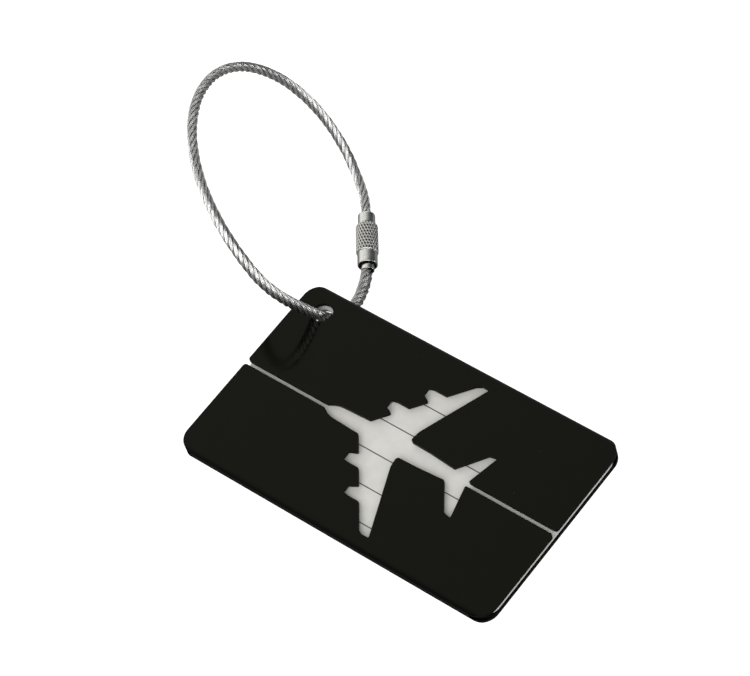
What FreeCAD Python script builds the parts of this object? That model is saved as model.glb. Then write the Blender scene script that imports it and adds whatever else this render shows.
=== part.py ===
# Luggage tag: a folded aluminium sleeve with an aeroplane window, the card inside it, and a wire-rope
# loop through its corner hole that closes with a screw connector.
#
# Units are millimetres. The tag lies as it does on a table: its front long edge rests on the surface and
# the connector under the loop props up the back corner, so the sleeve leans by TILT about the X axis.
# The row's origin is below the middle of the sleeve, on the surface, with +X along the sleeve.
#
# The sleeve and the card are drawn flat first, in the sleeve's own coordinates: u from the left end,
# v from the front long edge and w up from the back face. lay_on_table() then leans them into place.
import FreeCAD, Part
import math
import os

from FreeCAD import Placement, Rotation, Vector

# Sleeve
LENGTH = 80.0
WIDTH = 47.0
THICKNESS = 2.9
SHEET = 0.8
BEND_RADIUS = 1.0           # outside of the two long folds
CORNER_RADIUS = 4.0
TILT = 12.2                 # degrees
SLOT_HALF = 0.5             # half the gap between the two flaps
SLOT_LIP_RADIUS = 0.7       # flap corners at the ends of the slot
HOLE_U, HOLE_V = 6.4, 41.4
HOLE_RADIUS = 2.25

# Card
CARD_LEFT, CARD_RIGHT = 0.5, 79.8
CARD_SIDE_GAP = 0.3         # to each fold
CARD_BASE = 1.05            # height of its underside in the sleeve
CARD_THICKNESS = 0.5
CARD_NOTCH_RADIUS = 2.0

# Cable
CABLE_RADIUS = 1.0
ARC_SHARE = 0.45            # how much of the shorter run an arc may use

# Connector, measured along its axis from the stud's open end
STUD_END = Vector(-49.5, 50.4, 5.0)
BARREL_MOUTH = Vector(-41.3, 40.5, 2.15)
CABLE_IN_STUD = 2.0
STUD_RADIUS, STUD_SHOULDER, STUD_ROUND = 1.9, 2.95, 0.35
THREAD_RADIUS, THREAD_END = 1.7, 4.95
KNURL_START, KNURL_END, KNURL_RADIUS, KNURL_CHAMFER = 3.0, 10.1, 2.45, 0.35
TAIL_RADIUS, TAIL_ROUND = 2.2, 0.12
BARREL_BORE_RADIUS = 1.75
SEAT_START, SEAT_END, SEAT_RADIUS = 9.9, 10.9, 1.58
MOUTH_RADIUS = 1.95
FERRULE_START, FLANGE_END, FERRULE_END = 9.2, 9.8, 12.5
FLANGE_RADIUS, FERRULE_RADIUS, FERRULE_BORE = 1.65, 1.5, 1.08
BORE_IN_STUD = 1.0

CUT_PAST = 1.0              # how far a cutting shape runs past what it cuts

AXIS = (BARREL_MOUTH - STUD_END).normalize()


def along(distance):
    """A point on the connector's axis."""
    return STUD_END + AXIS * distance


# The cable's corners, from its end in the ferrule, up through the hole, round the loop and into the stud
ROUTE = [
    along(FERRULE_START), along(15.0),
    Vector(-37.4, 33.6, 1.3), Vector(-35.5, 28.2, 2.0), Vector(-32.3, 20.9, 5.7),
    Vector(-35.8, 11.7, 16.4), Vector(-39.6, 7.4, 23.2), Vector(-44.7, 6.0, 29.2),
    Vector(-51.1, 7.2, 35.1), Vector(-57.9, 10.6, 40.2), Vector(-64.6, 16.2, 44.0),
    Vector(-70.0, 22.6, 45.8), Vector(-74.0, 29.7, 45.2), Vector(-76.0, 37.1, 42.9),
    Vector(-76.1, 43.9, 39.3), Vector(-74.7, 49.9, 34.5), Vector(-72.0, 54.7, 28.0),
    Vector(-67.2, 57.7, 19.8), Vector(-61.5, 58.3, 12.0), Vector(-56.8, 56.6, 8.0),
    along(-4.0), along(CABLE_IN_STUD),
]

# Half of the aeroplane window, nose to tail: distance from the left end, distance from the middle of
# the slot, and the radius that rounds the corner. The other half is its mirror image.
NOSE = [(21.5, SLOT_HALF, 0.3), (23.6, 1.62, 5.0)]
WING = [
    (31.6, 1.95, 0.3), (34.4, 5.48, 0.25), (32.5, 6.25, 0.3), (32.5, 8.1, 0.35), (33.6, 8.4, 0.8),
    (36.72, 8.4, 0.25), (39.3, 11.65, 0.25), (37.45, 12.6, 0.3), (37.4, 14.35, 0.35),
    (38.5, 14.65, 0.8), (41.68, 14.65, 0.25), (45.65, 19.65, 0.7), (46.9, 20.35, 0.5),
    (48.7, 20.3, 0.2), (42.2, 4.7, 4.0), (41.95, 2.25, 0.6),
]
TAIL = [(47.0, 2.12, 20.0), (53.6, 1.66, 0.3), (58.0, 7.65, 0.4), (60.0, 8.12, 0.25),
        (58.1, SLOT_HALF, 0.3)]


def rounded_wire(corners):
    """A closed wire through corners of (u, v, radius), each rounded by a tangent arc."""
    points = [Vector(u, v, 0) for u, v, radius in corners]
    edges, joints = [], []
    for i, (u, v, radius) in enumerate(corners):
        corner = points[i]
        back = (points[i - 1] - corner).normalize()
        ahead = (points[(i + 1) % len(points)] - corner).normalize()
        if radius == 0:
            joints.append((corner, corner))
            continue
        half = back.getAngle(ahead) / 2
        reach = radius / math.tan(half)
        start, end = corner + back * reach, corner + ahead * reach
        middle = corner + (back + ahead).normalize() * (radius / math.sin(half) - radius)
        edges.append(Part.Arc(start, middle, end).toShape())
        joints.append((start, end))
    for i, (start, end) in enumerate(joints):
        following = joints[(i + 1) % len(joints)][0]
        edges.append(Part.LineSegment(end, following).toShape())
    return Part.Wire(Part.__sortEdges__(edges))


def prism(wire, bottom, top):
    solid = Part.Face(wire).extrude(Vector(0, 0, top - bottom))
    solid.translate(Vector(0, 0, bottom))
    return solid


def rounded_rectangle(left, right, front, back, radius):
    return rounded_wire([(left, front, radius), (right, front, radius),
                         (right, back, radius), (left, back, radius)])


def lay_on_table(shape):
    """Leans a flat-drawn shape about X and puts the sleeve's lowest point on the surface."""
    sine, cosine = math.sin(math.radians(TILT)), math.cos(math.radians(TILT))
    offset = Vector(-LENGTH / 2, -(WIDTH * cosine - THICKNESS * sine) / 2, BEND_RADIUS * (1 - sine - cosine))
    placed = shape.copy()
    placed.Placement = Placement(offset, Rotation(Vector(1, 0, 0), TILT)).multiply(placed.Placement)
    return placed


def window_wire():
    """The slot's whole length with the aeroplane in it, open past both ends of the sleeve."""
    lip_end = SLOT_HALF + 2 * SLOT_LIP_RADIUS
    half = [(-CUT_PAST, lip_end, 0), (0, lip_end, 0), (0, SLOT_HALF, SLOT_LIP_RADIUS)]
    half += NOSE + WING + TAIL
    half += [(LENGTH, SLOT_HALF, SLOT_LIP_RADIUS), (LENGTH, lip_end, 0), (LENGTH + CUT_PAST, lip_end, 0)]
    middle = WIDTH / 2
    upper = [(u, middle + v, radius) for u, v, radius in half]
    lower = [(u, middle - v, radius) for u, v, radius in reversed(half)]
    return rounded_wire(upper + lower)


def folded_section(inset, radius):
    """A rounded rectangle across the sleeve, inset from its outside, as a bar along its length."""
    wire = rounded_rectangle(inset, WIDTH - inset, inset, THICKNESS - inset, radius)
    bar = Part.Face(wire).extrude(Vector(0, 0, LENGTH))
    # the section is drawn in X and Y and stands along Z: turn it to lie across v and w, along u
    bar.Placement = Placement(Vector(0, 0, 0), Rotation(Vector(1, 1, 1), 120))
    return bar


def sleeve():
    body = folded_section(0, BEND_RADIUS).cut(folded_section(SHEET, BEND_RADIUS - SHEET))
    above = THICKNESS + CUT_PAST
    plan = prism(rounded_rectangle(0, LENGTH, 0, WIDTH, CORNER_RADIUS), -CUT_PAST, above)
    body = body.common(plan)
    # the folds stop where the rounded corners begin
    gap = THICKNESS - 2 * SHEET
    long, wide = CORNER_RADIUS + CUT_PAST, BEND_RADIUS + CUT_PAST
    for u in (-CUT_PAST, LENGTH - CORNER_RADIUS):
        for v in (-CUT_PAST, WIDTH - BEND_RADIUS):
            body = body.cut(Part.makeBox(long, wide, gap, Vector(u, v, SHEET)))
    body = body.cut(prism(window_wire(), THICKNESS - SHEET, above))
    body = body.cut(Part.makeCylinder(HOLE_RADIUS, above + CUT_PAST, Vector(HOLE_U, HOLE_V, -CUT_PAST)))
    return lay_on_table(body)


def id_card():
    front = SHEET + CARD_SIDE_GAP
    outline = rounded_rectangle(CARD_LEFT, CARD_RIGHT, front, WIDTH - front, CORNER_RADIUS)
    card = prism(outline, CARD_BASE, CARD_BASE + CARD_THICKNESS)
    notch = Part.makeCylinder(CARD_NOTCH_RADIUS, THICKNESS, Vector(HOLE_U, HOLE_V, 0))
    way_out = Part.makeBox(HOLE_U + CUT_PAST, 2 * CARD_NOTCH_RADIUS, THICKNESS,
                           Vector(-CUT_PAST, HOLE_V - CARD_NOTCH_RADIUS, 0))
    return lay_on_table(card.cut(notch).cut(way_out))


def cable_path():
    """Straight runs joined by tangent arcs that are as large as their runs allow."""
    edges, at = [], ROUTE[0]
    for before, corner, after in zip(ROUTE, ROUTE[1:], ROUTE[2:]):
        back, ahead = before - corner, after - corner
        reach = ARC_SHARE * min(back.Length, ahead.Length)
        half = back.getAngle(ahead) / 2
        radius = reach * math.tan(half)
        back.normalize()
        ahead.normalize()
        start, end = corner + back * reach, corner + ahead * reach
        middle = corner + (back + ahead).normalize() * (radius / math.sin(half) - radius)
        edges.append(Part.LineSegment(at, start).toShape())
        edges.append(Part.Arc(start, middle, end).toShape())
        print("cable corner: radius %.1f, turn %.1f degrees" % (radius, 180 - math.degrees(2 * half)))
        at = end
    edges.append(Part.LineSegment(at, ROUTE[-1]).toShape())
    return Part.Wire(edges)


def wire_cable():
    path = cable_path()
    profile = Part.Wire(Part.Circle(ROUTE[0], AXIS, CABLE_RADIUS).toShape())
    tube = path.makePipeShell([profile], True, False)
    expected = math.pi * CABLE_RADIUS ** 2 * path.Length
    print("cable: length %.1f, volume %.1f, section x length %.1f" % (path.Length, tube.Volume, expected))
    return tube


def turned(profile):
    """A turned part: (distance along the connector's axis, radius) corners, spun round the axis."""
    corners = [Vector(radius, 0, distance) for distance, radius in profile]
    spun = Part.Face(Part.makePolygon(corners + corners[:1])).revolve(Vector(0, 0, 0), Vector(0, 0, 1), 360)
    spun.Placement = Placement(STUD_END, Rotation(Vector(0, 0, 1), AXIS))
    return spun


def threaded_stud():
    """The crimped sleeve on the cable's upper end, blind-bored for the cable, with its threaded nose."""
    return turned([
        (0, BORE_IN_STUD), (0, STUD_RADIUS - STUD_ROUND), (STUD_ROUND / 3, STUD_RADIUS - STUD_ROUND / 3),
        (STUD_ROUND, STUD_RADIUS), (STUD_SHOULDER, STUD_RADIUS), (STUD_SHOULDER, THREAD_RADIUS),
        (THREAD_END, THREAD_RADIUS), (THREAD_END, 0), (CABLE_IN_STUD, 0), (CABLE_IN_STUD, BORE_IN_STUD),
    ])


def knurled_barrel():
    """The nut: threaded bore, an inner seat that holds the end ferrule, and an open mouth."""
    mouth = along(0).distanceToPoint(BARREL_MOUTH)
    return turned([
        (KNURL_START, BARREL_BORE_RADIUS), (KNURL_START, KNURL_RADIUS - KNURL_CHAMFER),
        (KNURL_START + KNURL_CHAMFER, KNURL_RADIUS), (KNURL_END - KNURL_CHAMFER, KNURL_RADIUS),
        (KNURL_END, TAIL_RADIUS), (mouth - TAIL_ROUND, TAIL_RADIUS), (mouth, TAIL_RADIUS - TAIL_ROUND),
        (mouth, MOUTH_RADIUS), (SEAT_END, MOUTH_RADIUS), (SEAT_END, SEAT_RADIUS),
        (SEAT_START, SEAT_RADIUS), (SEAT_START, BARREL_BORE_RADIUS),
    ])


def end_ferrule():
    """The flanged sleeve on the cable's lower end, which the barrel's seat pulls towards the stud."""
    return turned([
        (FERRULE_START, FERRULE_BORE), (FERRULE_START, FLANGE_RADIUS), (FLANGE_END, FLANGE_RADIUS),
        (FLANGE_END, FERRULE_RADIUS), (FERRULE_END, FERRULE_RADIUS), (FERRULE_END, FERRULE_BORE),
    ])


def main():
    os.makedirs("parts", exist_ok=True)
    for make in (sleeve, id_card, wire_cable, threaded_stud, knurled_barrel, end_ferrule):
        shape = make()
        box = shape.optimalBoundingBox()
        print("%s: valid %s, solids %d, volume %.1f, z %.2f to %.2f"
              % (make.__name__, shape.isValid(), len(shape.Solids), shape.Volume, box.ZMin, box.ZMax))
        shape.exportStep("parts/%s.step" % make.__name__)


main()
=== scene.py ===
import math

import bpy
import numpy as np
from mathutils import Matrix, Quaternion, Vector
from mathutils.geometry import tessellate_polygon


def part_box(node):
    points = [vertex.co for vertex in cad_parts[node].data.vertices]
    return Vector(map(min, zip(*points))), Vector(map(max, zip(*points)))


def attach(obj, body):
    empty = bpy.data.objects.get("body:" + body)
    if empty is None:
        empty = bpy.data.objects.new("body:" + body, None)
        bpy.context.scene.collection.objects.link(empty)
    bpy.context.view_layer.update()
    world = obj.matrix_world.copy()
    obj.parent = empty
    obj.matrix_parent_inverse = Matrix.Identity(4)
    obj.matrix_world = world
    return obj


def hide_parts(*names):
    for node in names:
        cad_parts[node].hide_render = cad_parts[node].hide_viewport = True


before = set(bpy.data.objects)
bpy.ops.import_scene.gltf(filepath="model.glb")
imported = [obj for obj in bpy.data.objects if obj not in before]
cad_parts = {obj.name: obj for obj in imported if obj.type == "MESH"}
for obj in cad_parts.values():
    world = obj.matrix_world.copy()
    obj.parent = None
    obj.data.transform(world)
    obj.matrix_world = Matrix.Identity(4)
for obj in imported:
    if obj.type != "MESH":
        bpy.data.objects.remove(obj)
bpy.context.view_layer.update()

# The sleeve as part.py draws it: it leans about X, and v runs across it from its low edge
LENGTH, WIDTH, THICKNESS = 0.080, 0.047, 0.0029
BEND_RADIUS = 0.001
TILT = math.radians(12.2)
ACROSS = Vector((0, math.cos(TILT), math.sin(TILT)))
UP_OUT = Vector((0, -math.sin(TILT), math.cos(TILT)))

# The connector's axis, and places along it. They are part.py's, but the ferrule's end is 2 mm further out
STUD_END = Vector((-0.0495, 0.0504, 0.0050))
BARREL_MOUTH = Vector((-0.0413, 0.0405, 0.00215))
AXIS = (BARREL_MOUTH - STUD_END).normalized()
MOUTH = (BARREL_MOUTH - STUD_END).length
FERRULE_START, FERRULE_END, CABLE_IN_STUD = 0.0092, 0.0145, 0.0020
CABLE_RADIUS = 0.001


def along(distance):
    """A point on the connector's axis, from the stud's open end."""
    return STUD_END + AXIS * distance


# The cable's route, from its end in the ferrule, up through the hole, round the loop and into the stud
ROUTE = [
    along(FERRULE_START), along(0.0150),
    (-0.0374, 0.0336, 0.0013), (-0.0355, 0.0282, 0.0020), (-0.0323, 0.0209, 0.0057),
    (-0.0358, 0.0117, 0.0164), (-0.0396, 0.0074, 0.0232), (-0.0445, 0.0064, 0.0294),
    (-0.0510, 0.0074, 0.0352), (-0.0580, 0.0105, 0.0402), (-0.0648, 0.0160, 0.0440),
    (-0.0698, 0.0227, 0.0458), (-0.0735, 0.0298, 0.0449), (-0.0758, 0.0370, 0.0427),
    (-0.0761, 0.0439, 0.0393), (-0.0747, 0.0498, 0.0344), (-0.0720, 0.0548, 0.0281),
    (-0.0670, 0.0581, 0.0200), (-0.0614, 0.0585, 0.0121), (-0.0569, 0.0565, 0.0080),
    along(-0.0040), along(CABLE_IN_STUD),
]


# Camera, light and floor

CAMERA_PLACE, CAMERA_TARGET = Vector((0.2967, -0.3236, 0.4809)), Vector((-0.0236, 0.0217, 0.0060))
CAMERA_LENS, CAMERA_ROLL = 153.75, math.radians(-5.09)
LIGHT_CENTRE = Vector((-0.02, 0.02, 0.01))
DIM, LEFT_WALL = (0.050, 0.062, 0.070), (1.08, 1.08, 1.05)     # what the surroundings send to the object
WALL_SIDE = (-0.951, 0.168, 0.259)      # the direction in which they are brightest
WALL_FROM, WALL_FULL = 0.07, 0.87       # cosines of the angle to it, where the wall begins and is brightest
FLOOR_SIZE, FLOOR_ALBEDO = 8, (0.32, 0.32, 0.32, 1)
WHITE = (1.0, 1.0, 1.0)


def add_camera():
    data = bpy.data.cameras.new("camera")
    data.lens = CAMERA_LENS
    data.clip_start, data.clip_end = 0.01, 20
    camera = bpy.data.objects.new("camera", data)
    camera.location = CAMERA_PLACE
    camera.rotation_mode = "QUATERNION"
    towards_target = (CAMERA_TARGET - CAMERA_PLACE).to_track_quat("-Z", "Y")
    camera.rotation_quaternion = towards_target @ Quaternion((0, 0, 1), CAMERA_ROLL)
    bpy.context.collection.objects.link(camera)
    bpy.context.scene.camera = camera


def add_softbox(name, azimuth, elevation, distance, width, height, radiance):
    """An area light that faces the tag from a direction in degrees. Radiance 1 shows as full white."""
    data = bpy.data.lights.new(name, "AREA")
    data.shape, data.size, data.size_y = "RECTANGLE", width, height
    data.energy = radiance * math.pi * width * height
    turn, rise = math.radians(azimuth), math.radians(elevation)
    towards = Vector((math.cos(turn) * math.cos(rise), math.sin(turn) * math.cos(rise), math.sin(rise)))
    lamp = bpy.data.objects.new(name, data)
    lamp.location = LIGHT_CENTRE + towards * distance
    lamp.rotation_euler = (-towards).to_track_quat("-Z", "Y").to_euler()
    bpy.context.collection.objects.link(lamp)


def add_lights():
    add_softbox("window", azimuth=301, elevation=30, distance=1.2, width=1.7, height=1.4, radiance=3.0)
    add_softbox("low_strip", azimuth=34, elevation=4, distance=1.0, width=0.60, height=0.26, radiance=4.6)


def mixed(tree, factor, a, b):
    """Colour a where factor is 0, and b where it is 1."""
    node = tree.nodes.new("ShaderNodeMix")
    node.data_type = "RGBA"
    tree.links.new(factor, node.inputs["Factor"])
    for socket, color in (("A", a), ("B", b)):
        if isinstance(color, tuple):
            node.inputs[socket].default_value = (*color, 1)
        else:
            tree.links.new(color, node.inputs[socket])
    return node.outputs["Result"]


def camera_ray(tree):
    return tree.nodes.new("ShaderNodeLightPath").outputs["Is Camera Ray"]


def add_surroundings():
    """White behind the tag. All round it is dim, with a brighter wall on the left that fades in softly."""
    world = bpy.data.worlds.new("studio")
    world.use_nodes = True
    tree = world.node_tree
    background = tree.nodes["Background"]
    direction = tree.nodes.new("ShaderNodeTexCoord").outputs["Generated"]
    wall = add(tree, "ShaderNodeMapRange", From_Min=WALL_FROM, From_Max=WALL_FULL)
    wall.interpolation_type = "SMOOTHSTEP"
    tree.links.new(dot(tree, direction, WALL_SIDE), wall.inputs["Value"])
    color = mixed(tree, wall.outputs["Result"], DIM, LEFT_WALL)
    tree.links.new(mixed(tree, camera_ray(tree), color, WHITE), background.inputs["Color"])
    bpy.context.scene.world = world
    bpy.context.scene.view_settings.view_transform = "Standard"


def add_floor():
    """Pale to the camera, and dim enough in reflections to leave the fold's outer wall dark."""
    bpy.ops.mesh.primitive_plane_add(size=FLOOR_SIZE)
    floor = bpy.context.object
    floor.name = "floor"
    paint, tree, shader = new_material("pale_floor")
    shader.inputs["Base Color"].default_value = FLOOR_ALBEDO
    shader.inputs["Roughness"].default_value = 0.9
    shader.inputs["Specular IOR Level"].default_value = 0.0
    shader.inputs["Emission Color"].default_value = (*WHITE, 1)
    tree.links.new(camera_ray(tree), shader.inputs["Emission Strength"])
    floor.data.materials.append(paint)


# Materials

NOISE_LOW, NOISE_HIGH = 0.3, 0.7        # nearly all of a noise texture's values lie between these


def new_material(name, metallic=0.0, ior=1.5):
    material = bpy.data.materials.new(name)
    material.use_nodes = True
    shader = material.node_tree.nodes["Principled BSDF"]
    shader.inputs["Metallic"].default_value = metallic
    shader.inputs["IOR"].default_value = ior
    return material, material.node_tree, shader


def add(tree, kind, **values):
    """A node with its inputs set by name."""
    node = tree.nodes.new(kind)
    for name, value in values.items():
        node.inputs[name.replace("_", " ")].default_value = value
    return node


def place_of(tree):
    """The surface point in the row's frame, in metres, which a posed body carries along."""
    return tree.nodes.new("ShaderNodeTexCoord").outputs["Object"]


def math_node(tree, operation, a, b=0.0, c=0.0, clamp=False):
    node = tree.nodes.new("ShaderNodeMath")
    node.operation, node.use_clamp = operation, clamp
    for socket, value in zip(node.inputs, (a, b, c)):
        if isinstance(value, (int, float)):
            socket.default_value = value
        else:
            tree.links.new(value, socket)
    return node.outputs[0]


def dot(tree, vector, direction):
    node = tree.nodes.new("ShaderNodeVectorMath")
    node.operation = "DOT_PRODUCT"
    tree.links.new(vector, node.inputs[0])
    node.inputs[1].default_value = direction
    return node.outputs["Value"]


def noise(tree, vector, scale, detail=2.0):
    node = add(tree, "ShaderNodeTexNoise", Scale=scale, Detail=detail)
    tree.links.new(vector, node.inputs["Vector"])
    return node.outputs["Fac"]


def ramp(tree, value, low, high, at_low, at_high):
    """Maps value from low..high to two numbers or two colours."""
    if isinstance(at_low, (int, float)):
        node = add(tree, "ShaderNodeMapRange", From_Min=low, From_Max=high, To_Min=at_low, To_Max=at_high)
        tree.links.new(value, node.inputs["Value"])
        return node.outputs["Result"]
    node = tree.nodes.new("ShaderNodeValToRGB")
    node.color_ramp.elements[0].position, node.color_ramp.elements[1].position = low, high
    node.color_ramp.elements[0].color, node.color_ramp.elements[1].color = (*at_low, 1), (*at_high, 1)
    tree.links.new(value, node.inputs["Fac"])
    return node.outputs["Color"]


def varied(tree, value, at_low, at_high):
    """A noise texture's value, spread from one number or colour to another."""
    return ramp(tree, value, NOISE_LOW, NOISE_HIGH, at_low, at_high)


def shaded(tree, color, darkest):
    """The colour with painted shade: darker where the mesh's shade attribute is low."""
    unshaded = tree.nodes.new("ShaderNodeAttribute")
    unshaded.attribute_name = "shade"
    node = tree.nodes.new("ShaderNodeVectorMath")
    node.operation = "SCALE"
    tree.links.new(color, node.inputs[0])
    tree.links.new(ramp(tree, unshaded.outputs["Fac"], 0.0, 1.0, darkest, 1.0), node.inputs["Scale"])
    return node.outputs[0]


def facing(tree, direction):
    """How nearly the surface faces a direction in the row's frame: 1 straight at it, 0 square to it."""
    turned = tree.nodes.new("ShaderNodeVectorTransform")
    turned.vector_type, turned.convert_from, turned.convert_to = "NORMAL", "WORLD", "OBJECT"
    tree.links.new(tree.nodes.new("ShaderNodeNewGeometry").outputs["Normal"], turned.inputs[0])
    return dot(tree, turned.outputs[0], direction)


def bump(tree, shader, height, distance, strength=1.0):
    node = add(tree, "ShaderNodeBump", Strength=strength, Distance=distance)
    tree.links.new(height, node.inputs["Height"])
    tree.links.new(node.outputs["Normal"], shader.inputs["Normal"])


COATING, DUST = (0.0014, 0.0014, 0.0011), (0.045, 0.043, 0.035)
COATING_TINT = (0.97, 1.0, 0.80, 1)
SPECKS_PER_METRE, SPECK_CORE, SPECK_RIM = 210.0, 0.012, 0.045   # the radii are parts of their spacing
SPECK_FROM, SPECK_FULL = 0.60, 0.64     # a noise between these thins them out
EDGE_ROUGHNESS = 0.45                   # added on cut edges and on the folds' outer walls
EDGE_FROM, EDGE_FULL = 0.60, 0.15       # how nearly they face the same way as the flat sheet


def black_aluminium():
    """Glossy black coating: a faint ripple, a few specks of dust, and edges that are rougher."""
    material, tree, shader = new_material("black_aluminium", ior=1.2)
    shader.inputs["Specular Tint"].default_value = COATING_TINT
    point = place_of(tree)
    specks = add(tree, "ShaderNodeTexVoronoi", Scale=SPECKS_PER_METRE, Randomness=1.0)
    tree.links.new(point, specks.inputs["Vector"])
    near = ramp(tree, specks.outputs["Distance"], SPECK_CORE, SPECK_RIM, 1.0, 0.0)
    chosen = ramp(tree, noise(tree, point, 900.0, 0.0), SPECK_FROM, SPECK_FULL, 0.0, 1.0)
    dust = math_node(tree, "MULTIPLY", near, chosen, clamp=True)
    tree.links.new(ramp(tree, dust, 0.0, 1.0, COATING, DUST), shader.inputs["Base Color"])
    smooth = varied(tree, noise(tree, point, 260.0), 0.08, 0.12)
    flat = math_node(tree, "ABSOLUTE", facing(tree, UP_OUT))
    edge = ramp(tree, flat, EDGE_FULL, EDGE_FROM, EDGE_ROUGHNESS, 0.0)
    tree.links.new(math_node(tree, "ADD", smooth, edge), shader.inputs["Roughness"])
    bump(tree, shader, noise(tree, point, 320.0, 1.0), 0.00001, 0.15)
    return material


RULE_SPACING, RULE_WIDTH = 0.00725, 0.00024
FIRST_RULE, LAST_RULE = -2, 2           # rules either side of the one nearest the middle
MIDDLE_RULE = -0.00335                  # its distance from the card's middle line
RULES_END, RULE_SOFTNESS = 0.0355, 0.3  # where the rules stop along the card, and how soft their edges are
PAPER_DARK, PAPER_LIGHT, INK = (0.615, 0.603, 0.565), (0.66, 0.648, 0.61), (0.02, 0.02, 0.022)


def printed_card():
    """Matt card with thin ruled lines along it, on the front only, and a fine paper grain."""
    material, tree, shader = new_material("printed_card", ior=1.45)
    shader.inputs["Roughness"].default_value = 0.55
    point = place_of(tree)
    middle = sum((Vector(corner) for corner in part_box("id_card")), Vector()) / 2
    from_middle = math_node(tree, "SUBTRACT", dot(tree, point, ACROSS), middle.dot(ACROSS))
    step = math_node(tree, "DIVIDE", math_node(tree, "SUBTRACT", from_middle, MIDDLE_RULE), RULE_SPACING)
    number = math_node(tree, "ROUND", step)
    away = math_node(tree, "ABSOLUTE", math_node(tree, "SUBTRACT", step, number))
    half = RULE_WIDTH / RULE_SPACING / 2
    line = ramp(tree, away, half * (1 - RULE_SOFTNESS), half * (1 + RULE_SOFTNESS), 1.0, 0.0)
    middle_number, reach = (FIRST_RULE + LAST_RULE) / 2, (LAST_RULE - FIRST_RULE) / 2 + 0.1
    inside = math_node(tree, "COMPARE", number, middle_number, reach)
    from_centre = math_node(tree, "ABSOLUTE", dot(tree, point, (1, 0, 0)))
    ends = ramp(tree, from_centre, RULES_END, RULES_END + 0.0001, 1.0, 0.0)
    front = math_node(tree, "GREATER_THAN", facing(tree, UP_OUT), 0.9)
    printed = math_node(tree, "MULTIPLY", math_node(tree, "MULTIPLY", line, inside),
                        math_node(tree, "MULTIPLY", ends, front), clamp=True)
    paper = varied(tree, noise(tree, point, 450.0, 3.0), PAPER_DARK, PAPER_LIGHT)
    tree.links.new(mixed(tree, printed, paper, INK), shader.inputs["Base Color"])
    bump(tree, shader, noise(tree, point, 2500.0, 3.0), 0.00001, 0.25)
    return material


RINGS_PER_METRE = 9000.0
RING_DARKNESS, METAL_SHADE_DARKEST, WIRE_SHADE_DARKEST = 0.86, 0.10, 0.13      # parts of the unshaded colour: the rings' darkest, and the darkest painted shade on metal and on wire


def turned_metal(name, color, roughness, spread):
    """Plated metal with the fine rings that turning leaves round the connector's axis."""
    material, tree, shader = new_material(name, metallic=1.0)
    point = place_of(tree)
    stretch = tree.nodes.new("ShaderNodeCombineXYZ")
    tree.links.new(math_node(tree, "MULTIPLY", dot(tree, point, AXIS), RINGS_PER_METRE), stretch.inputs["X"])
    rings = noise(tree, stretch.outputs[0], 1.0, 3.0)
    smudged = varied(tree, noise(tree, point, 700.0), roughness - 0.03, roughness + 0.05)
    rough = math_node(tree, "ADD", varied(tree, rings, -spread, spread), smudged)
    tree.links.new(rough, shader.inputs["Roughness"])
    metal = varied(tree, rings, tuple(RING_DARKNESS * c for c in color), color)
    # painted shade darkens knurl pits, thread roots and bores
    tree.links.new(shaded(tree, metal, METAL_SHADE_DARKEST), shader.inputs["Base Color"])
    bump(tree, shader, rings, 0.000004, 0.5)
    return material


STEEL_DULL, STEEL_BRIGHT = (0.66, 0.66, 0.65), (0.92, 0.92, 0.90)


def drawn_wire():
    """Bright drawn steel wire, with a little grime that differs from place to place."""
    material, tree, shader = new_material("drawn_wire", metallic=1.0)
    point = place_of(tree)
    steel = varied(tree, noise(tree, point, 240.0, 4.0), STEEL_DULL, STEEL_BRIGHT)
    # painted shade darkens the crevices between the wires
    tree.links.new(shaded(tree, steel, WIRE_SHADE_DARKEST), shader.inputs["Base Color"])
    tree.links.new(varied(tree, noise(tree, point, 1900.0), 0.18, 0.30), shader.inputs["Roughness"])
    return material


# Geometry

def mesh_object(name, vertices, faces, material, smooth=True, shade=None):
    """shade is one number for each vertex, from 0 where painted shade is darkest to 1 where none is painted.
    """
    mesh = bpy.data.meshes.new(name)
    mesh.from_pydata([tuple(v) for v in vertices], [], [tuple(int(i) for i in f) for f in faces])
    if shade is not None:
        values = mesh.attributes.new("shade", "FLOAT", "POINT").data
        values.foreach_set("value", np.asarray(shade, np.float32))
    mesh.validate()
    mesh.polygons.foreach_set("use_smooth", [smooth] * len(mesh.polygons))
    mesh.materials.append(material)
    piece = bpy.data.objects.new(name, mesh)
    bpy.context.collection.objects.link(piece)
    return piece


def route_line(step):
    """Points a step apart on the route's smooth spline, and the tangent at each."""
    curve = bpy.data.curves.new("route", "CURVE")
    curve.dimensions = "3D"
    spline = curve.splines.new("NURBS")
    spline.points.add(len(ROUTE) - 1)
    for point, place in zip(spline.points, ROUTE):
        point.co = (*place, 1)
    spline.order_u = 3
    spline.use_endpoint_u = True
    spline.resolution_u = 32
    route = bpy.data.objects.new("route", curve)
    bpy.context.collection.objects.link(route)
    line = bpy.data.meshes.new_from_object(route.evaluated_get(bpy.context.evaluated_depsgraph_get()))
    dense = np.array([v.co for v in line.vertices], float)
    bpy.data.objects.remove(route)
    bpy.data.curves.remove(curve)
    bpy.data.meshes.remove(line)
    if np.linalg.norm(dense[0] - np.array(ROUTE[0])) > np.linalg.norm(dense[-1] - np.array(ROUTE[0])):
        dense = dense[::-1]
    gone = np.concatenate([[0], np.cumsum(np.linalg.norm(np.diff(dense, axis=0), axis=1))])
    at = np.linspace(0, gone[-1], int(gone[-1] / step) + 1)
    points = np.stack([np.interp(at, gone, dense[:, k]) for k in range(3)], axis=1)
    tangents = np.gradient(points, axis=0)
    tangents /= np.linalg.norm(tangents, axis=1)[:, None]
    return points, tangents, at


def carried_frame(tangents):
    """Two directions across the line at each point that turn no more than the line does."""
    normal = np.cross(tangents[0], (0.3, 0.2, 1.0))
    normals = []
    for tangent in tangents:
        normal = normal - tangent * (normal @ tangent)
        normal /= np.linalg.norm(normal)
        normals.append(normal)
    normals = np.array(normals)
    return normals, np.cross(tangents, normals)


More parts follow.
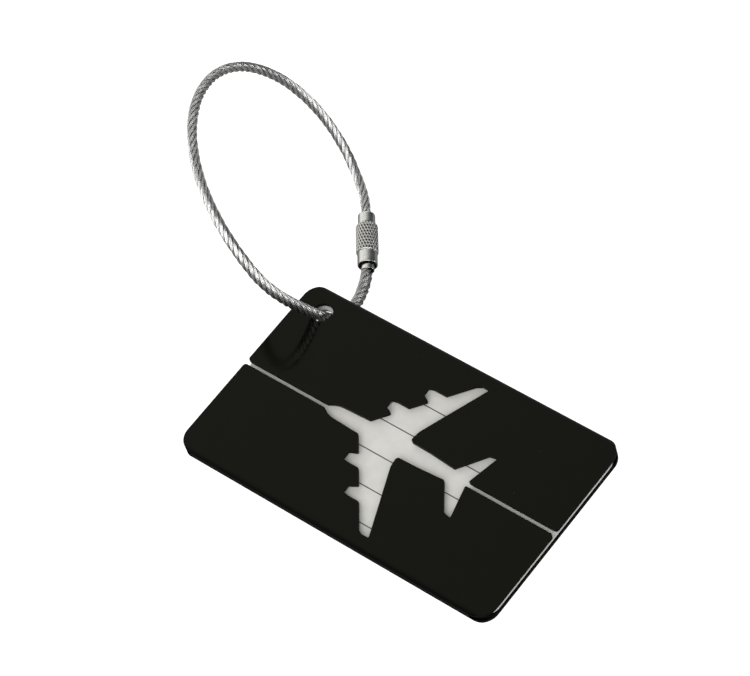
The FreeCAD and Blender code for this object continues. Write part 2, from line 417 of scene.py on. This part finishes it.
def tube(centres, normals, binormals, radii, sides, base):
    """Vertices and faces of a closed tube round a line, counted from base."""
    turn = np.arange(sides) * 2 * math.pi / sides
    ring = (np.cos(turn)[None, :, None] * normals[:, None] + np.sin(turn)[None, :, None] * binormals[:, None])
    vertices = (centres[:, None] + radii[:, None, None] * ring).reshape(-1, 3)
    n = len(centres)
    i, j = np.meshgrid(np.arange(n - 1), np.arange(sides), indexing="ij")
    a, b = i * sides + j, i * sides + (j + 1) % sides
    faces = np.stack([a, b, b + sides, a + sides], axis=-1).reshape(-1, 4) + base
    caps = [list(range(base + sides - 1, base - 1, -1)), [base + (n - 1) * sides + k for k in range(sides)]]
    return vertices, faces.tolist() + caps


STRANDS, WIRES = 6, 6
STRAND_LAY, WIRE_LAY = 0.0108, 0.0170   # the length of one turn
WIRE_RADIUS = CABLE_RADIUS / 8.1        # the strands reach 9 of these from the axis, past the nominal radius
CORE, STRAND_OUT, WIRE_OUT = 3.6, 6, 2  # the core's radius and how far out the centres lie, in wire radii
PRESSED = 1.04                          # wires and strands are pressed a little into each other
CABLE_STEP, WIRE_SIDES, CORE_SIDES = 0.00038, 5, 10
SPLAY = 0.20                            # how much thicker the rope is just outside the ferrule
SPLAY_FROM, SPLAY_TO = 0.0090, 0.0750   # it tightens between these distances along the rope
SPLAY_GROWS = 0.0012                    # and it swells over this length from the ferrule's end
SHADE_FULL_TO, SHADE_NONE_FROM = 5.4, 8.3         # distances from the rope's axis, in wire radii: painted shade is full inside the first, none past the second
DARKENING, CLOSE_PACKING = 0.34, 0.18       # the rope's colour is darker near the ferrule, and its wires touch more there
DARKENING_TO, DARKENING_FADE = 0.0180, 0.0080


def wire_rope(material):
    """Strands of wires laid round a core, all following the route's smooth spline. The rope has loosened
    where it leaves the ferrule, and tightens again on the way up the loop's side."""
    points, tangents, at = route_line(CABLE_STEP)
    normals, binormals = carried_frame(tangents)
    tightened = np.clip((at - SPLAY_FROM) / (SPLAY_TO - SPLAY_FROM), 0, 1)
    out_of_ferrule = np.clip((at - FERRULE_END + FERRULE_START) / SPLAY_GROWS, 0, 1)
    splayed = (1 - tightened * tightened * (3 - 2 * tightened)) * out_of_ferrule
    unit = WIRE_RADIUS * (1 + SPLAY * splayed)
    # 1 near the ferrule, fading to 0 further on: the rope's colour is darker there and its wires thicker
    near_ferrule = np.clip((DARKENING_TO - at) / DARKENING_FADE + 1, 0, 1)
    wire_radii = unit * (PRESSED + CLOSE_PACKING * near_ferrule)
    vertices, faces, shade, base = [], [], [], 0

    def keep(new_vertices, new_faces):
        nonlocal base
        from_axis = np.linalg.norm(new_vertices.reshape(len(points), -1, 3) - points[:, None], axis=2)
        # painted shade: the wires' colour darkens towards the rope's axis, in the crevices between them
        unshaded = np.clip((from_axis / unit[:, None] - SHADE_FULL_TO) / (SHADE_NONE_FROM - SHADE_FULL_TO), 0, 1)
        # the colour is also darker near the ferrule
        shade.append((unshaded * (1 - DARKENING * near_ferrule)[:, None]).ravel())
        vertices.append(new_vertices)
        faces.extend(new_faces)
        base += len(new_vertices)

    keep(*tube(points, normals, binormals, CORE * unit, CORE_SIDES, base))
    for strand in range(STRANDS):
        turn = (2 * math.pi * (at / STRAND_LAY + strand / STRANDS))[:, None]
        outward = np.cos(turn) * normals + np.sin(turn) * binormals
        centres = points + outward * (STRAND_OUT * unit)[:, None]
        along_strand = np.gradient(centres, axis=0)
        along_strand /= np.linalg.norm(along_strand, axis=1)[:, None]
        across = outward - along_strand * np.sum(outward * along_strand, axis=1)[:, None]
        across /= np.linalg.norm(across, axis=1)[:, None]
        sideways = np.cross(along_strand, across)
        for wire in range(WIRES):
            spin = (2 * math.pi * (-at / WIRE_LAY + wire / WIRES))[:, None]
            wire_out = np.cos(spin) * across + np.sin(spin) * sideways
            wire_line = centres + wire_out * (WIRE_OUT * unit)[:, None]
            keep(*tube(wire_line, wire_out, np.cross(along_strand, wire_out), wire_radii, WIRE_SIDES, base))
    rope = mesh_object("wire_rope", np.concatenate(vertices), faces, material, shade=np.concatenate(shade))
    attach(rope, "loop")
    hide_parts("wire_cable")
    return rope, points


BORE_SHADE = 0.10                       # the painted shade inside a bore, as a part of the unshaded colour


def turned_solid(name, section, around, material, radius_at=None, painted_shade_within=0.0):
    """A solid of revolution about the connector's axis. section lists (distance, radius) all round it, and
    radius_at(distance, angle, radius) may shape the surface further. Shade is painted into what radius_at
    cuts away, and darker shade is painted in the bore up to the radius painted_shade_within."""
    side = AXIS.cross(Vector((0, 0, 1))).normalized()
    other = AXIS.cross(side)
    vertices, faces, shade = [], [], []
    for distance, radius in section:
        for k in range(around):
            angle = 2 * math.pi * k / around
            r = radius_at(distance, angle, radius) if radius_at else radius
            # painted shade: darkest in the bore, and darker the deeper radius_at cuts, in knurl pits and
            # thread roots
            shade.append(BORE_SHADE if r < painted_shade_within else max(0.0, 1 - (radius - r) / KNURL_DEPTH))
            vertices.append(along(distance) + (side * math.cos(angle) + other * math.sin(angle)) * r)
    rows = len(section)
    for i in range(rows):
        for k in range(around):
            a, b = i * around + k, i * around + (k + 1) % around
            c, d = (i + 1) % rows * around + (k + 1) % around, (i + 1) % rows * around + k
            faces.append((a, b, c, d))
    return mesh_object(name, vertices, faces, material, shade=shade)


def divided(start, end, pieces):
    """Points from start up to end, without end itself."""
    return [tuple(s + (e - s) * i / pieces for s, e in zip(start, end)) for i in range(pieces)]


def rounded(centre, radius, start, end, pieces=4):
    """Points round an arc. Angles are in degrees from the first coordinate's direction."""
    steps = [math.radians(start + (end - start) * i / pieces) for i in range(pieces + 1)]
    return [(centre[0] + radius * math.cos(t), centre[1] + radius * math.sin(t)) for t in steps]


KNURL_START, KNURL_END, KNURL_RADIUS = 0.0030, 0.0101, 0.00245
KNURL_STARTS, KNURL_DEPTH, KNURL_SLOPE = 22, 0.00030, math.tan(math.radians(24))
KNURL_FADE = 0.00035                    # how far from each end it reaches its full depth
PIT_SHAPE = 0.7                         # under 1, the pits have steeper sides and the ridges are narrower
TAIL_RADIUS, MOUTH_RADIUS = 0.0022, 0.00195
SEAT_START, SEAT_END, SEAT_RADIUS, BORE_RADIUS = 0.0099, 0.0109, 0.00158, 0.00175


def knurl(distance, angle, radius):
    """Raised ridges that cross, with a pit in each diamond between them."""
    if not KNURL_START < distance < KNURL_END or radius < TAIL_RADIUS:
        return radius
    twist = distance * KNURL_SLOPE / KNURL_RADIUS
    one = 0.5 + 0.5 * math.cos(KNURL_STARTS * (angle + twist))
    two = 0.5 + 0.5 * math.cos(KNURL_STARTS * (angle - twist))
    pit = (1 - one) * (1 - two)
    from_end = min(distance - KNURL_START, KNURL_END - distance)
    return radius - KNURL_DEPTH * pit ** PIT_SHAPE * min(1.0, from_end / KNURL_FADE)


def barrel(material):
    """The knurled nut. Its smooth tail is open, and a seat inside holds the ferrule's flange."""
    edge, lip = 0.0003, (TAIL_RADIUS - MOUTH_RADIUS) / 2
    groove_depth, groove_width = 0.00002, 0.00005       # a hairline where the tail begins
    section = [(KNURL_START, BORE_RADIUS), (KNURL_START, KNURL_RADIUS - 2 * edge)]
    section += rounded((KNURL_START + edge, KNURL_RADIUS - edge), edge, 180, 90, 5)
    section += divided((KNURL_START + 1.2 * edge, KNURL_RADIUS), (KNURL_END - 1.2 * edge, KNURL_RADIUS), 84)
    section += rounded((KNURL_END - edge, KNURL_RADIUS - edge), edge, 90, 0, 5)
    section += [(KNURL_END, TAIL_RADIUS - groove_depth), (KNURL_END + groove_width, TAIL_RADIUS)]
    section += divided((KNURL_END + edge, TAIL_RADIUS), (MOUTH - lip, TAIL_RADIUS), 4)
    section += rounded((MOUTH - lip, TAIL_RADIUS - lip), lip, 90, -90, 8)
    section += [(SEAT_END, MOUTH_RADIUS), (SEAT_END, SEAT_RADIUS), (SEAT_START, SEAT_RADIUS),
                (SEAT_START, BORE_RADIUS)]
    inside_lip = TAIL_RADIUS - 1.6 * lip
    # painted shade in the knurl's pits and inside the mouth
    piece = turned_solid("barrel_knurled", section, 240, material, knurl, painted_shade_within=inside_lip)
    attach(piece, "barrel")
    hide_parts("knurled_barrel")
    return piece


STUD_RADIUS, STUD_SHOULDER, STUD_BORE = 0.0019, 0.00295, 0.00102
THREAD_RADIUS, THREAD_END, THREAD_PITCH, THREAD_DEPTH = 0.0017, 0.00495, 0.0005, 0.00026
THREAD_GROOVE, THREAD_LEAD = 0.00008, 0.00003   # from the shoulder: a plain groove, and then the rise to it
THREAD_START, THREAD_ROOT = STUD_SHOULDER + THREAD_GROOVE + THREAD_LEAD, THREAD_RADIUS - THREAD_DEPTH
PIN_HOLE = 0.00002                      # along the stud's axis, where its section closes


def thread(distance, angle, radius):
    """A right-handed V thread on the stud's nose."""
    if not THREAD_START <= distance < THREAD_END or radius < THREAD_RADIUS:
        return radius
    phase = (distance / THREAD_PITCH - angle / (2 * math.pi)) % 1.0
    return radius - THREAD_DEPTH * abs(2 * phase - 1)


def stud(material):
    """The smooth half of the connector, with the cable in its open end and a threaded nose."""
    edge, sharp, flare = 0.00035, 0.00006, 0.0001       # its open end, its shoulder and its bore
    section = [(flare, STUD_BORE), (0.0, STUD_BORE + flare), (0.0, STUD_RADIUS - 1.6 * edge)]
    section += rounded((edge, STUD_RADIUS - edge), edge, 180, 90, 6)
    section += divided((2 * edge, STUD_RADIUS), (STUD_SHOULDER - sharp, STUD_RADIUS), 4)
    section += [(STUD_SHOULDER - sharp, STUD_RADIUS), (STUD_SHOULDER, STUD_RADIUS - sharp),
                (STUD_SHOULDER, THREAD_ROOT), (STUD_SHOULDER + THREAD_GROOVE, THREAD_ROOT)]
    section += divided((THREAD_START, THREAD_RADIUS), (THREAD_END - 0.00001, THREAD_RADIUS), 40)
    section += [(THREAD_END, THREAD_ROOT), (THREAD_END, PIN_HOLE), (CABLE_IN_STUD, PIN_HOLE),
                (CABLE_IN_STUD, STUD_BORE)]
    # painted shade in the thread's roots
    piece = turned_solid("stud_threaded", section, 96, material, thread)
    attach(piece, "loop")
    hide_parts("threaded_stud")
    return piece


FLANGE_END, FLANGE_RADIUS, FERRULE_RADIUS, FERRULE_BORE = 0.0098, 0.00165, 0.00145, 0.00136


def ferrule(material):
    """The flanged sleeve on the cable's end, whose bright end stands just out of the barrel's mouth."""
    edge = 0.00008
    section = [(FERRULE_START, FERRULE_BORE), (FERRULE_START, FLANGE_RADIUS), (FLANGE_END, FLANGE_RADIUS)]
    section += divided((FLANGE_END, FERRULE_RADIUS), (FERRULE_END - edge, FERRULE_RADIUS), 4)
    section += rounded((FERRULE_END - edge, FERRULE_RADIUS - edge), edge, 90, 0, 6)
    section += [(FERRULE_END - edge / 2, FERRULE_BORE)]
    piece = turned_solid("ferrule_flanged", section, 72, material)
    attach(piece, "cable_end")
    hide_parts("end_ferrule")
    return piece


# The card in the sleeve's own directions: u along it, v across it and w up from its back
CARD_LEFT, CARD_RIGHT, CARD_FRONT = 0.0005, 0.0798, 0.0011
CARD_BASE, CARD_THICKNESS, CORNER_RADIUS = 0.00105, 0.0005, 0.004
HOLE_U, HOLE_V = 0.0064, 0.0414
CARD_HOLE_RADIUS, SLIT_HALF = 0.0018, 0.00006


def in_sleeve(u, v, w):
    """A point given along the sleeve, across it and up from its back, where the leaning sleeve has it."""
    lowest = BEND_RADIUS * (1 - math.sin(TILT) - math.cos(TILT))
    front = -(WIDTH * math.cos(TILT) - THICKNESS * math.sin(TILT)) / 2
    return Vector((u - LENGTH / 2, front, lowest)) + ACROSS * v + UP_OUT * w


def card(material):
    """The paper card. Its hole is round, with a slit to the left end that lets it pass the cable."""
    outline = []
    for u, v, start in ((CARD_RIGHT, CARD_FRONT, -90), (CARD_RIGHT, WIDTH - CARD_FRONT, 0),
                        (CARD_LEFT, WIDTH - CARD_FRONT, 90)):
        inward = CORNER_RADIUS if u == CARD_LEFT else -CORNER_RADIUS
        centre = (u + inward, v + (CORNER_RADIUS if v == CARD_FRONT else -CORNER_RADIUS))
        outline += rounded(centre, CORNER_RADIUS, start, start + 90, 12)
    reach = math.sqrt(CARD_HOLE_RADIUS ** 2 - SLIT_HALF ** 2)
    opening = math.degrees(math.asin(SLIT_HALF / CARD_HOLE_RADIUS))
    outline += [(CARD_LEFT, HOLE_V + SLIT_HALF), (HOLE_U - reach, HOLE_V + SLIT_HALF)]
    outline += rounded((HOLE_U, HOLE_V), CARD_HOLE_RADIUS, 180 - opening, opening - 180, 60)[1:-1]
    outline += [(HOLE_U - reach, HOLE_V - SLIT_HALF), (CARD_LEFT, HOLE_V - SLIT_HALF)]
    outline += rounded((CARD_LEFT + CORNER_RADIUS, CARD_FRONT + CORNER_RADIUS), CORNER_RADIUS, 180, 270, 12)
    count = len(outline)
    vertices = [in_sleeve(u, v, w) for w in (CARD_BASE, CARD_BASE + CARD_THICKNESS) for u, v in outline]
    faces = [(i, (i + 1) % count, count + (i + 1) % count, count + i) for i in range(count)]
    for a, b, c in tessellate_polygon([[Vector((u, v, 0)) for u, v in outline]]):
        (ua, va), (ub, vb), (uc, vc) = outline[a], outline[b], outline[c]
        if (ub - ua) * (vc - va) - (uc - ua) * (vb - va) < 0:
            b, c = c, b
        faces += [(count + a, count + b, count + c), (a, c, b)]
    piece = mesh_object("card", vertices, faces, material, smooth=False)
    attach(piece, "card")
    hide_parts("id_card")
    return piece


def finish_cad_node(node, material):
    """Gives a CAD node its material."""
    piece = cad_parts[node]
    piece.data.materials.clear()
    piece.data.materials.append(material)


def main():
    add_camera()
    add_lights()
    add_surroundings()
    add_floor()
    plated = turned_metal("plated_steel", color=(0.74, 0.73, 0.70), roughness=0.24, spread=0.05)
    bright = turned_metal("ferrule_metal", color=(0.80, 0.79, 0.76), roughness=0.20, spread=0.04)
    rope, path = wire_rope(drawn_wire())
    barrel_piece = barrel(plated)
    stud_piece = stud(plated)
    finish_cad_node("sleeve", black_aluminium())
    card(printed_card())
    ferrule_piece = ferrule(bright)


main()
